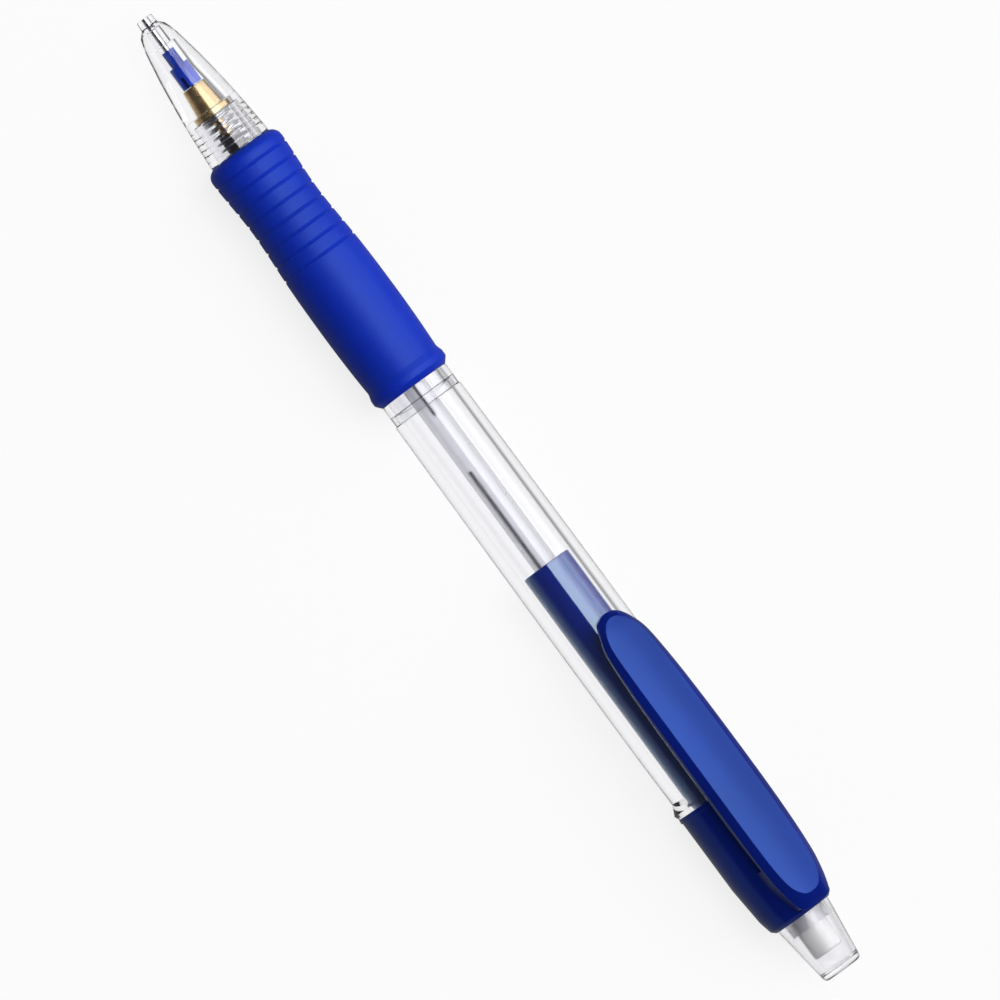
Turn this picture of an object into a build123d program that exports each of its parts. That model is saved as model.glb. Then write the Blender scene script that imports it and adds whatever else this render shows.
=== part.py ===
"""Clip mechanical pencil for 0.5 mm lead, at rest with its guide pipe drawn in.

The pencil lies along X with the nose tip at -X, the eraser cap at +X and the clip on top (+Z).
The origin is under the middle of the pencil, on the surface that it lies on. All sizes are in
millimetres. Stations are measured along the pencil from the nose tip, radii from its axis.
"""

from build123d import *
import os
from math import sqrt

os.makedirs("parts", exist_ok=True)

# ------------------------------------------------------------------ lengths along the outside
nose_length = 19.8
grip_length = 35.9
collar_length = 2.9        # clear collar of the front barrel behind the grip
barrel_length = 57.1       # rear barrel between the collar and its stop ring
stop_ring_length = 2.0
cap_length = 18.2          # sleeve of the clip cap
button_length = 8.4        # part of the eraser cap that stands out of the clip cap

# ------------------------------------------------------------------ outside radii
barrel_radius = 5.03       # drives the other radii of the barrels, the cap and the grip
tip_radius = 1.1
shoulder_radius = 1.9
snout_taper = 0.05         # growth of the snout's radius over its length
barrel_front_radius = barrel_radius - 0.16
barrel_rear_radius = barrel_radius - 0.1
stop_ring_radius = barrel_radius + 0.57
cap_radius = barrel_radius + 0.27
cap_rear_radius = cap_radius - 0.48
collar_radius = barrel_radius - 0.31
core_radius = barrel_radius - 0.83   # front barrel under the grip
nose_radius = core_radius + 0.07     # where the nose meets the grip
nose_bulge = 0.4           # how far the nose swells out of a straight cone
grip_end_radius = core_radius + 1.0
grip_waist_radius = core_radius + 0.6
grip_swell_radius = core_radius + 1.14
grip_rear_radius = grip_end_radius - 0.1
grip_flange_radius = core_radius + 1.18
button_radius = 3.7        # drives the eraser, its holder and the tail tube
button_end_radius = button_radius - 0.98

# ------------------------------------------------------------------ lead, travels, clearances
lead_radius = 0.25
lead_length = 60.0
button_travel = 2.8        # full push of the eraser cap
feed_travel = 0.7          # lead fed by one push, until the clutch ring meets its stop
slider_travel = 3.0        # guide pipe from drawn in to writing

running = 0.08             # radial gap of pieces that slide in one another
pressed = 0.02             # radial gap left between pieces pressed together
lead_gap = 0.03            # radial gap round the lead
lead_recess = 0.05         # lead's end behind the pipe's end
end_gap = 0.1              # lengthwise gap of pieces that stop against each other
ring_gap = 0.03            # radial gap between the closed chuck and its ring
pipe_gap = 0.04            # radial gap round the guide pipe in the nose
bore_relief = 0.05         # extra depth at the ends of the nose's bores
edge_break = 0.15          # small chamfers on turned ends

# ------------------------------------------------------------------ tip unit
snout_length = 1.2
shoulder_length = 0.8
slider_front = 5.0         # station of the slider's front end, drawn in
slider_length = 5.2
slider_neck_length = 2.25
chamber_length = 4.1       # parallel bore of the nose round the slider
slider_neck_radius = 0.86
slider_radius = 1.34
slider_slot = 0.4
slider_slot_length = 1.5
pipe_radius = 0.43
pipe_recess = 0.05         # pipe end behind the nose tip
pipe_seat = 1.6            # length of pipe pressed into the slider
pipe_lip = 0.06            # rounding of the pipe's mouth, across and along
pipe_lip_length = 0.2
retainer_radius = 0.95
retainer_length = 0.7
retainer_depth = 2.4       # from the slider's front end to the retainer

# ------------------------------------------------------------------ clutch
sleeve_length = 4.35
sleeve_front_radius = 1.55
sleeve_radius = 1.95
flange_radius = 2.55
flange_thickness = 0.8
ring_length = 1.3
ring_radius = 1.24
shoulder_wall = 1.25       # brass behind the ring's chamber
chuck_head_radius = 1.02
chuck_stem_radius = 0.8
chuck_grip_length = 3.0    # length of stem pressed into the holder
jaw_count = 3
jaw_slit = 0.16
jaw_length = 5.5
jaw_taper = 0.5            # opening of the lead hole behind the jaws
holder_radius = 1.35
holder_flange_radius = 2.05
holder_flange_thickness = 1.2
holder_spigot_length = 3.8
spring_length = 11.35
spring_turns = 10
spring_radius = 1.9        # to the middle of the wire
wire_radius = 0.18
wire_sides = 6             # the wire is drawn six-sided to keep the coil light
spring_end_gap = 0.02      # wire from the faces that hold it

# ------------------------------------------------------------------ lead store
tube_radius = 1.6
tube_wall = 0.45
tube_socket = 4.0          # lead tube pressed into the tail tube
tail_length = 53.1         # tail tube, measured from the rear end of the clip cap
tail_wall = 0.9
tail_nose_length = 6.0     # solid front end of the tail tube
tail_inset = 0.2           # tail tube's end inside the clip cap
tail_shoulder_gap = 0.4    # shoulder of the tail tube in front of the button's skirt
store_taper = 1.2          # length of the cone from the lead tube's bore to the store
spare_gap = 3.9            # spare lead to the eraser
spare_offset = (-0.45, -0.62)  # Y and Z from the axis: the spare lead lies low in its tube

# ------------------------------------------------------------------ barrels and cap
thread_radius = 3.1        # crest of the screwed joint, drawn plain
thread_gap = 0.1
thread_lead = 0.2          # chamfer on the first turn
front_bore_gap = 0.15      # chuck holder's flange in the front barrel
tube_bore_gap = 0.9        # lead tube in the front barrel
guide_length = 4.0         # narrow bore behind the chuck holder's flange
barrel_spigot_length = 10.0
barrel_spigot_radius = barrel_radius - 1.08
barrel_spigot_wall = 0.65
barrel_seat_length = 1.3
barrel_seat_radius = barrel_radius - 0.78
barrel_wall = 1.23
barrel_widening = 0.6      # share of the rear barrel over which it widens
barrel_rear_taper = 8.0    # length over which it narrows to the stop ring
stop_ring_peak = 0.68      # share of the stop ring in front of its crest
cap_seat_length = 11.5     # rear spigot of the barrel inside the clip cap
cap_seat_radius = barrel_radius - 0.63
cap_rear_slope = 3.0       # length over which the clip cap narrows at its rear
cap_rear_bulge = 0.03      # swelling of that slope over a straight cone
cap_waist_lead = 0.5       # start of the slope in front of the clip's root
cap_rear_round = 0.6
cap_mouth_length = 0.25
cap_mouth_break = 0.1
button_bore_gap = 0.1      # eraser cap in the clip cap
button_skirt_length = 3.4  # eraser cap hidden inside the clip cap
skirt_wall = 0.72
button_wall = 0.55
button_end_wall = 1.1
button_end_round = 0.6
button_end_ease = 0.1      # how much thinner the wall is at the end
button_flat = 0.3          # parallel length that stands out before the cone
eraser_radius = button_radius - 1.65
eraser_length = 9.4
eraser_stands_out = 3.8    # beyond its holder
eraser_round = 0.3
holder_lip_radius = button_radius - 0.95
holder_lip_length = 1.9
holder_lip_taper = 0.1
holder_sleeve_length = 4.5
holder_wall = 0.25
holder_slot_count = 4      # slots in the lip, which let a refill's lead past the eraser
holder_slot_angle = 20
holder_slot_width = 0.7
holder_slot_depth = 1.14

# ------------------------------------------------------------------ grip
grip_round = 0.9           # rounding of the grip's front edge
grip_waist = 9.7           # stations of the waist and the swell behind the grip's front face
grip_swell = 25.5
grip_rear_slope = -0.12    # slope of the outline at the flange
grip_flange_length = 2.4
grip_flange_front = 0.9    # lengths of the flange's slopes in front of and behind its crest
grip_flange_rear = 0.8
groove_count = 8
groove_pitch = 2.0
groove_first = 2.2         # behind the grip's front face
groove_width = 0.3
groove_depth = 0.14

# ------------------------------------------------------------------ clip
clip_length = 44.0         # tip to the rear end of the clip cap
clip_width = 7.4
clip_gap = 0.25            # clip's underside above the stop ring
clip_crown = stop_ring_radius + 2.25       # outer face above the axis, at its highest
clip_tip_height = stop_ring_radius + 1.0
clip_rear_height = stop_ring_radius + 0.4
clip_tip_length = 2.6      # length of the tip's rounding, and its share of the clip's width
clip_tip_share = 0.7
clip_tip_spread = 0.55     # slope of the sides where the spline starts and ends
clip_front_station = 8.0   # behind the tip, and its share of the clip's width
clip_front_share = 0.9
clip_root_share = 0.94     # the same where the clip leaves the sleeve
clip_rear_station = 2.0    # before the rear end, and its share
clip_rear_share = 0.7
clip_end_share = 0.46
clip_rear_inset = 0.25
clip_widest = 1.0          # station of the full width behind the clip's middle
clip_bevel = 0.8           # measured along the outer face
clip_bevel_drop = 0.65
clip_root_length = 7.4
clip_ball_radius = 1.1
clip_ball_gap = 0.03       # ball above the barrel
clip_ball_station = 0.5    # behind the clip's tip
clip_ball_share = 0.4      # half length of the ball as a share of half the clip's width
clip_root_bite = 0.15      # how far the clip's root goes into the sleeve

# ------------------------------------------------------------------ stations and the frame
grip_start = nose_length
grip_end = grip_start + grip_length
barrel_start = grip_end + collar_length
stop_ring_start = barrel_start + barrel_length
cap_start = stop_ring_start + stop_ring_length
cap_end = cap_start + cap_length
overall_length = cap_end + button_length
axis_height = stop_ring_radius

tip = Vector(-overall_length / 2, 0, axis_height)
side = Plane(origin=tip, x_dir=(1, 0, 0), z_dir=(0, -1, 0))   # station and height over the axis
plan = Plane(origin=tip, x_dir=(1, 0, 0), z_dir=(0, 0, 1))    # station and Y
pencil_axis = Axis(tip, (1, 0, 0))


def across(station):
    """The plane square to the pencil at a station: Y to the right, Z up, facing the eraser."""
    return Plane(origin=tip + Vector(station, 0, 0), x_dir=(0, 1, 0), z_dir=(1, 0, 0))


# what the tip unit and clutch leave room for
slider_end = slider_front + slider_length
retainer_front = slider_front + retainer_depth
retainer_end = retainer_front + retainer_length
skirt_radius = chuck_head_radius + running
sleeve_front = slider_end + end_gap
sleeve_end = sleeve_front + sleeve_length
flange_front = sleeve_end - flange_thickness
ring_end = sleeve_end - shoulder_wall
ring_front = ring_end - ring_length
chuck_front = retainer_end + button_travel + end_gap
holder_front = sleeve_end + button_travel + end_gap
chuck_end = holder_front + chuck_grip_length
spring_end = sleeve_end + spring_length
holder_spigot_start = spring_end + holder_flange_thickness
holder_spigot_end = holder_spigot_start + holder_spigot_length
tail_front = cap_end - tail_length
tube_end = tail_front + tube_socket
tail_end = cap_end - tail_inset
skirt_start = cap_end - button_skirt_length
tail_shoulder = skirt_start - tail_shoulder_gap
tail_spigot_radius = button_radius - skirt_wall - running
tail_bore = eraser_radius + running + holder_wall + pressed
tail_radius = tail_bore + tail_wall
bore_radius = barrel_radius - barrel_wall
seat_end = cap_start + cap_seat_length
lip_end = tail_end + holder_lip_length
eraser_front = lip_end + eraser_stands_out - eraser_length
spare_front = eraser_front - spare_gap - lead_length
lead_hole = lead_radius + lead_gap

# ------------------------------------------------------------------ nose cone
neck_bore_start = slider_front - slider_travel - bore_relief
chamber_start = neck_bore_start + slider_neck_length
cone_start = chamber_start + chamber_length
shoulder_station = snout_length + shoulder_length
nose_middle = (shoulder_station + nose_length) / 2

with BuildPart() as nose_cone:
    with BuildSketch(side):
        with BuildLine():
            Polyline(
                (0, 0),
                (0, tip_radius - edge_break),
                (edge_break, tip_radius),
                (snout_length, tip_radius + snout_taper),
                (shoulder_station, shoulder_radius),
            )
            ThreePointArc(
                (shoulder_station, shoulder_radius),
                (nose_middle, (shoulder_radius + nose_radius) / 2 + nose_bulge),
                (nose_length, nose_radius),
            )
            Polyline((nose_length, nose_radius), (nose_length, 0), (0, 0))
        make_face()
    revolve(axis=pencil_axis)
    # bores for the pipe, the slider and the brass sleeve, and the screwed socket
    with BuildSketch(side):
        with BuildLine():
            Polyline(
                (-1, 0),
                (-1, pipe_radius + pipe_gap),
                (neck_bore_start, pipe_radius + pipe_gap),
                (neck_bore_start, slider_neck_radius + running),
                (chamber_start, slider_neck_radius + running),
                (chamber_start, slider_radius + running),
                (cone_start, slider_radius + running),
                (flange_front - end_gap, sleeve_radius + running),
                (flange_front - end_gap, flange_radius + running),
                (sleeve_end - bore_relief, flange_radius + running),
                (sleeve_end - bore_relief, thread_radius + thread_gap),
                (nose_length + 1, thread_radius + thread_gap),
                (nose_length + 1, 0),
                (-1, 0),
            )
        make_face()
    revolve(axis=pencil_axis, mode=Mode.SUBTRACT)
nose_cone.part.label = "nose_cone"
export_step(nose_cone.part, "parts/nose_cone.step")

# ------------------------------------------------------------------ tip slider
neck_end = slider_front + slider_neck_length
pipe_end = slider_front + pipe_seat

with BuildPart() as tip_slider:
    with BuildSketch(side):
        with BuildLine():
            Polyline(
                (slider_front, pipe_radius + pressed),
                (slider_front, slider_neck_radius),
                (neck_end, slider_neck_radius),
                (neck_end, slider_radius),
                (slider_end, slider_radius),
                (slider_end, skirt_radius),
                (retainer_end, skirt_radius),
                (retainer_end, retainer_radius + pressed),
                (retainer_front, retainer_radius + pressed),
                (retainer_front, lead_radius + 2 * lead_gap),
                (pipe_end, lead_radius + 2 * lead_gap),
                (pipe_end, pipe_radius + pressed),
                close=True,
            )
        make_face()
    revolve(axis=pencil_axis)
    with BuildSketch(across(slider_end)):
        Rectangle(slider_slot, 4 * slider_radius, rotation=45)
    extrude(amount=-slider_slot_length, mode=Mode.SUBTRACT)
tip_slider.part.label = "tip_slider"
export_step(tip_slider.part, "parts/tip_slider.step")

# ------------------------------------------------------------------ guide pipe
with BuildPart() as guide_pipe:
    with BuildSketch(side):
        with BuildLine():
            Polyline(
                (pipe_recess, lead_hole),
                (pipe_recess, pipe_radius - pipe_lip),
                (pipe_recess + pipe_lip_length, pipe_radius),
                (pipe_end, pipe_radius),
                (pipe_end, lead_hole),
                close=True,
            )
        make_face()
    revolve(axis=pencil_axis)
guide_pipe.part.label = "guide_pipe"
export_step(guide_pipe.part, "parts/guide_pipe.step")

# ------------------------------------------------------------------ lead retainer
with BuildPart() as lead_retainer:
    with BuildSketch(across(retainer_front)):
        Circle(retainer_radius)
        Circle(lead_radius + ring_gap, mode=Mode.SUBTRACT)
    extrude(amount=retainer_length)
lead_retainer.part.label = "lead_retainer"
export_step(lead_retainer.part, "parts/lead_retainer.step")

# ------------------------------------------------------------------ clutch sleeve
# The ring slides between the shoulder behind it and the rolled-in front end of the sleeve.
with BuildPart() as clutch_sleeve:
    with BuildSketch(side):
        with BuildLine():
            Polyline(
                (sleeve_front, skirt_radius),
                (sleeve_front, sleeve_front_radius),
                (flange_front, sleeve_radius),
                (flange_front, flange_radius),
                (sleeve_end, flange_radius),
                (sleeve_end, chuck_stem_radius + running),
                (ring_end, chuck_stem_radius + running),
                (ring_end, ring_radius + running),
                (ring_front - feed_travel, ring_radius + running),
                (ring_front - feed_travel, skirt_radius),
                close=True,
            )
        make_face()
    revolve(axis=pencil_axis)
clutch_sleeve.part.label = "clutch_sleeve"
export_step(clutch_sleeve.part, "parts/clutch_sleeve.step")

# ------------------------------------------------------------------ clutch ring
with BuildPart() as clutch_ring:
    with BuildSketch(side):
        with BuildLine():
            Polyline(
                (ring_front, chuck_head_radius + ring_gap),
                (ring_front, ring_radius),
                (ring_end, ring_radius),
                (ring_end, chuck_stem_radius + ring_gap),
                close=True,
            )
        make_face()
    revolve(axis=pencil_axis)
clutch_ring.part.label = "clutch_ring"
export_step(clutch_ring.part, "parts/clutch_ring.step")

# ------------------------------------------------------------------ chuck, split into jaws
with BuildPart() as chuck:
    with BuildSketch(side):
        with BuildLine():
            Polyline(
                (chuck_front, lead_radius + ring_gap),
                (chuck_front, chuck_head_radius - edge_break),
                (chuck_front + edge_break, chuck_head_radius),
                (ring_front, chuck_head_radius),
                (ring_end, chuck_stem_radius),
                (chuck_end, chuck_stem_radius),
                (chuck_end, 2 * lead_radius),
                (ring_end, 2 * lead_radius),
                (ring_end - jaw_taper, lead_radius + ring_gap),
                close=True,
            )
        make_face()
    revolve(axis=pencil_axis)
    with BuildSketch(across(chuck_front)):
        with PolarLocations(0, jaw_count):
            Rectangle(2 * chuck_head_radius, jaw_slit, align=(Align.MIN, Align.CENTER))
    extrude(amount=jaw_length, mode=Mode.SUBTRACT)
chuck.part.label = "chuck"
export_step(chuck.part, "parts/chuck.step")

# ------------------------------------------------------------------ chuck spring
spring_start = sleeve_end + wire_radius + spring_end_gap
spring_height = spring_length - 2 * (wire_radius + spring_end_gap)

with BuildPart() as chuck_spring:
    with BuildLine() as coil:
        Helix(
            pitch=spring_height / spring_turns,
            height=spring_height,
            radius=spring_radius,
            center=tip + Vector(spring_start, 0, 0),
            direction=(1, 0, 0),
        )
    with BuildSketch(Plane(origin=coil.line @ 0, z_dir=coil.line % 0)):
        RegularPolygon(wire_radius, wire_sides)
    sweep(path=coil.line, is_frenet=True)
chuck_spring.part.label = "chuck_spring"
export_step(chuck_spring.part, "parts/chuck_spring.step")

# ------------------------------------------------------------------ chuck holder
with BuildPart() as chuck_holder:
    with BuildSketch(side):
        with BuildLine():
            Polyline(
                (holder_front, chuck_stem_radius + pressed),
                (holder_front, holder_radius),
                (spring_end, holder_radius),
                (spring_end, holder_flange_radius),
                (holder_spigot_start, holder_flange_radius),
                (holder_spigot_start, tube_radius - tube_wall - pressed),
                (holder_spigot_end, tube_radius - tube_wall - pressed),
                (holder_spigot_end, 2 * lead_radius),
                (chuck_end, 2 * lead_radius),
                (chuck_end, chuck_stem_radius + pressed),
                close=True,
            )
        make_face()
    revolve(axis=pencil_axis)
chuck_holder.part.label = "chuck_holder"
export_step(chuck_holder.part, "parts/chuck_holder.step")

# ------------------------------------------------------------------ lead tube
with BuildPart() as lead_tube:
    with BuildSketch(across(holder_spigot_start)):
        Circle(tube_radius)
        Circle(tube_radius - tube_wall, mode=Mode.SUBTRACT)
    extrude(amount=tube_end - holder_spigot_start)
lead_tube.part.label = "lead_tube"
export_step(lead_tube.part, "parts/lead_tube.step")

# ------------------------------------------------------------------ leads
lead_front = pipe_recess + lead_recess

with BuildPart() as writing_lead:
    with BuildSketch(across(lead_front)):
        Circle(lead_radius)
    extrude(amount=lead_length)
writing_lead.part.label = "writing_lead"
export_step(writing_lead.part, "parts/writing_lead.step")

with BuildPart() as spare_lead:
    with BuildSketch(across(spare_front)):
        with Locations(spare_offset):
            Circle(lead_radius)
    extrude(amount=lead_length)
spare_lead.part.label = "spare_lead"
export_step(spare_lead.part, "parts/spare_lead.step")

# ------------------------------------------------------------------ tail tube
tail_store_start = tail_front + tail_nose_length

with BuildPart() as tail_tube:
    with BuildSketch(side):
        with BuildLine():
            Polyline(
                (tail_front, tube_radius + pressed),
                (tail_front, tail_radius),
                (tail_shoulder, tail_radius),
                (tail_shoulder, tail_spigot_radius),
                (tail_end, tail_spigot_radius),
                (tail_end, tail_bore),
                (tail_store_start + store_taper, tail_bore),
                (tail_store_start, tube_radius - tube_wall),
                (tube_end, tube_radius - tube_wall),
                (tube_end, tube_radius + pressed),
                close=True,
            )
        make_face()
    revolve(axis=pencil_axis)
tail_tube.part.label = "tail_tube"
export_step(tail_tube.part, "parts/tail_tube.step")

# ------------------------------------------------------------------ eraser holder
holder_bore = eraser_radius + running
holder_sleeve_radius = tail_bore - pressed

with BuildPart() as eraser_holder:
    with BuildSketch(side):
        with BuildLine():
            Polyline(
                (tail_end - holder_sleeve_length, holder_bore),
                (tail_end - holder_sleeve_length, holder_sleeve_radius),
                (tail_end, holder_sleeve_radius),
                (tail_end, holder_lip_radius),
                (lip_end, holder_lip_radius - holder_lip_taper),
                (lip_end, holder_bore),
                close=True,
            )
        make_face()
    revolve(axis=pencil_axis)
    with BuildSketch(across(lip_end)):
        with PolarLocations(0, holder_slot_count, start_angle=holder_slot_angle):
            Rectangle(2 * holder_lip_radius, holder_slot_width, align=(Align.MIN, Align.CENTER))
    extrude(amount=-holder_slot_depth, mode=Mode.SUBTRACT)
eraser_holder.part.label = "eraser_holder"
export_step(eraser_holder.part, "parts/eraser_holder.step")

# ------------------------------------------------------------------ eraser
with BuildPart() as eraser:
    with BuildSketch(across(eraser_front)):
        Circle(eraser_radius)
    extrude(amount=eraser_length)
    fillet(eraser.edges().filter_by(GeomType.CIRCLE).sort_by(Axis.X)[-1], eraser_round)
eraser.part.label = "eraser"
export_step(eraser.part, "parts/eraser.step")

# ------------------------------------------------------------------ eraser cap, the push button
button_end = cap_end + button_length
cone_front = cap_end + button_flat
hollow_end = button_end - button_end_wall
inner_front_radius = button_radius - skirt_wall
hollow_front = lip_end + end_gap
hollow_radius = (
    button_radius
    - (hollow_front - cone_front) * (button_radius - button_end_radius) / (button_end - cone_front)
    - button_wall
)
hollow_end_radius = button_end_radius - button_wall + button_end_ease

with BuildPart() as eraser_cap:
    with BuildSketch(side):
        with BuildLine():
            Polyline(
                (skirt_start, inner_front_radius),
                (skirt_start, button_radius - edge_break),
                (skirt_start + edge_break, button_radius),
                (cone_front, button_radius),
                (button_end - button_end_round, button_end_radius),
            )
            RadiusArc(
                (button_end - button_end_round, button_end_radius),
                (button_end, button_end_radius - button_end_round),
                button_end_round,
                short_sagitta=True,
            )
            Polyline(
                (button_end, button_end_radius - button_end_round),
                (button_end, 0),
                (hollow_end, 0),
                (hollow_end, hollow_end_radius - button_end_round),
                (hollow_end - button_end_round, hollow_end_radius),
                (hollow_front, hollow_radius),
                (hollow_front, inner_front_radius),
                (skirt_start, inner_front_radius),
            )
        make_face()
    revolve(axis=pencil_axis)
eraser_cap.part.label = "eraser_cap"
export_step(eraser_cap.part, "parts/eraser_cap.step")

# ------------------------------------------------------------------ front barrel
spigot_start = barrel_start - barrel_spigot_length
seat_start = barrel_start - barrel_seat_length
guide_end = holder_spigot_start + guide_length
front_bore = holder_flange_radius + front_bore_gap
tube_bore = tube_radius + tube_bore_gap

with BuildPart() as front_barrel:
    with BuildSketch(side):
        with BuildLine():
            Polyline(
                (sleeve_end, front_bore),
                (sleeve_end, thread_radius - thread_lead),
                (sleeve_end + thread_lead, thread_radius),
                (grip_start, thread_radius),
                (grip_start, core_radius),
                (grip_end, core_radius),
                (grip_end, collar_radius),
                (barrel_start, collar_radius),
                (barrel_start, barrel_seat_radius + pressed),
                (seat_start, barrel_seat_radius + pressed),
                (seat_start, barrel_spigot_radius + pressed),
                (spigot_start, barrel_spigot_radius + pressed),
                (spigot_start, tube_bore),
                (guide_end, tube_bore),
                (guide_end, front_bore),
                close=True,
            )
        make_face()
    revolve(axis=pencil_axis)
front_barrel.part.label = "front_barrel"
export_step(front_barrel.part, "parts/front_barrel.step")

# ------------------------------------------------------------------ rear barrel
ring_peak = stop_ring_start + stop_ring_peak * stop_ring_length

with BuildPart() as rear_barrel:
    with BuildSketch(side):
        with BuildLine():
            Polyline(
                (spigot_start, barrel_spigot_radius - barrel_spigot_wall),
                (spigot_start, barrel_spigot_radius),
                (seat_start, barrel_spigot_radius),
                (seat_start, barrel_seat_radius),
                (barrel_start, barrel_seat_radius),
                (barrel_start, barrel_front_radius),
                (barrel_start + barrel_widening * barrel_length, barrel_radius),
                (stop_ring_start - barrel_rear_taper, barrel_radius),
                (stop_ring_start, barrel_rear_radius),
                (ring_peak, stop_ring_radius),
                (cap_start, cap_radius),
                (cap_start, cap_seat_radius),
                (seat_end, cap_seat_radius),
                (seat_end, bore_radius),
                (seat_start, bore_radius),
                (seat_start, barrel_spigot_radius - barrel_spigot_wall),
                close=True,
            )
        make_face()
    revolve(axis=pencil_axis)
rear_barrel.part.label = "rear_barrel"
export_step(rear_barrel.part, "parts/rear_barrel.step")

# ------------------------------------------------------------------ rubber grip
# Waisted towards the fingertips, swelling behind them, with a rolled flange at the rear.
flange_start = grip_end - grip_flange_length


def radius_at(outline, station):
    """Radius of an outline at a station, found by halving the stretch that holds it."""
    low, high = 0.0, 1.0
    for _ in range(30):
        middle = (low + high) / 2
        if (outline @ middle).X < station:
            low = middle
        else:
            high = middle
    return (outline @ low).Y


with BuildPart() as rubber_grip:
    with BuildSketch(side):
        with BuildLine():
            Line((grip_start, core_radius + pressed), (grip_start, grip_end_radius - grip_round))
            RadiusArc(
                (grip_start, grip_end_radius - grip_round),
                (grip_start + grip_round, grip_end_radius),
                grip_round,
                short_sagitta=True,
            )
            outline = Spline(
                (grip_start + grip_round, grip_end_radius),
                (grip_start + grip_waist, grip_waist_radius),
                (grip_start + grip_swell, grip_swell_radius),
                (flange_start, grip_rear_radius),
                tangents=((1, 0), (1, grip_rear_slope)),
            )
            Polyline(
                (flange_start, grip_rear_radius),
                (flange_start + grip_flange_front, grip_flange_radius),
                (grip_end - grip_flange_rear, grip_flange_radius),
                (grip_end, grip_rear_radius),
                (grip_end, core_radius + pressed),
                (grip_start, core_radius + pressed),
            )
        make_face()
    revolve(axis=pencil_axis)
    groove_stations = [grip_start + groove_first + n * groove_pitch for n in range(groove_count)]
    with BuildSketch(side):
        with Locations(*[(x, radius_at(outline, x)) for x in groove_stations]):
            Rectangle(groove_width, 2 * groove_depth)
    revolve(axis=pencil_axis, mode=Mode.SUBTRACT)
rubber_grip.part.label = "rubber_grip"
export_step(rubber_grip.part, "parts/rubber_grip.step")

# ------------------------------------------------------------------ clip cap
# One moulding: a sleeve on the barrel's rear end and a clip that springs over the barrel.
clip_tip = cap_end - clip_length
clip_rear = cap_end - clip_rear_inset
clip_under = stop_ring_radius + clip_gap
clip_root = cap_end - clip_root_length
clip_middle = (clip_tip + clip_rear) / 2
half_width = clip_width / 2
root_depth = sqrt(cap_radius**2 - half_width**2) - clip_root_bite
ball_height = barrel_radius + clip_ball_gap + clip_ball_radius

tip_round_end = clip_tip + clip_tip_length
tip_round_half = clip_tip_share * half_width
rear_half = clip_end_share * half_width
beyond = 0.5               # the side profile runs past both ends of the plan outline

with BuildPart() as clip:
    with BuildSketch(side):
        with BuildLine():
            ThreePointArc(
                (clip_tip - beyond, clip_tip_height),
                (clip_middle, clip_crown),
                (clip_rear + beyond, clip_rear_height),
            )
            Polyline(
                (clip_rear + beyond, clip_rear_height),
                (clip_rear + beyond, root_depth),
                (clip_root, root_depth),
                (clip_root, clip_under),
                (clip_tip - beyond, clip_under),
                (clip_tip - beyond, clip_tip_height),
            )
        make_face()
    extrude(amount=clip_width, both=True)
    # boat-shaped from above: round tip, widest past the middle, drawn in at the rear
    with BuildSketch(plan):
        with BuildLine():
            for hand in (1, -1):
                Spline(
                    (tip_round_end, hand * tip_round_half),
                    (clip_tip + clip_front_station, hand * clip_front_share * half_width),
                    (clip_middle + clip_widest, hand * half_width),
                    (clip_root, hand * clip_root_share * half_width),
                    (clip_rear - clip_rear_station, hand * clip_rear_share * half_width),
                    (clip_rear, hand * rear_half),
                    tangents=((1, hand * clip_tip_spread), (1, hand * -clip_tip_spread)),
                )
            ThreePointArc(
                (tip_round_end, tip_round_half),
                (clip_tip, 0),
                (tip_round_end, -tip_round_half),
            )
            Line((clip_rear, rear_half), (clip_rear, -rear_half))
        make_face()
    extrude(amount=2 * clip_crown, mode=Mode.INTERSECT)
    top_face = clip.faces().filter_by(GeomType.CYLINDER).sort_by(Axis.Z)[-1]
    chamfer(top_face.edges(), clip_bevel, clip_bevel_drop, reference=top_face)

with BuildPart() as clip_cap:
    with BuildSketch(side):
        with BuildLine():
            Polyline(
                (cap_start, 0),
                (cap_start, cap_radius - cap_mouth_break),
                (cap_start + cap_mouth_length, cap_radius),
                (clip_root - cap_waist_lead, cap_radius),
                (cap_end - cap_rear_slope, (cap_radius + cap_rear_radius) / 2 + cap_rear_bulge),
                (cap_end - cap_rear_round, cap_rear_radius),
                (cap_end, cap_rear_radius - cap_rear_round),
                (cap_end, 0),
                close=True,
            )
        make_face()
    revolve(axis=pencil_axis)
    add(clip.part)
    # ball under the clip's tip, which bears on the barrel or on a pocket's edge
    with BuildSketch(side):
        with Locations((clip_tip + clip_ball_station, ball_height)):
            Circle(clip_ball_radius)
    extrude(amount=clip_ball_share * half_width, both=True)
    with BuildSketch(across(cap_start)):
        Circle(cap_seat_radius + pressed)
    extrude(amount=cap_seat_length, mode=Mode.SUBTRACT)
    with BuildSketch(across(seat_end)):
        Circle(button_radius + button_bore_gap)
    extrude(amount=cap_end - seat_end + 1, mode=Mode.SUBTRACT)
clip_cap.part.label = "clip_cap"
export_step(clip_cap.part, "parts/clip_cap.step")
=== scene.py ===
"""Clip pencil with a clear barrel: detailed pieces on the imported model, finishes and stage.

Stations are millimetres along the pencil from its nose tip, radii millimetres from its axis.
"""

import math

import bmesh
import bpy
from bpy.props import FloatProperty, FloatVectorProperty, IntProperty, PointerProperty
from bpy.types import Operator, Panel, PropertyGroup
from mathutils import Matrix, Vector


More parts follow.
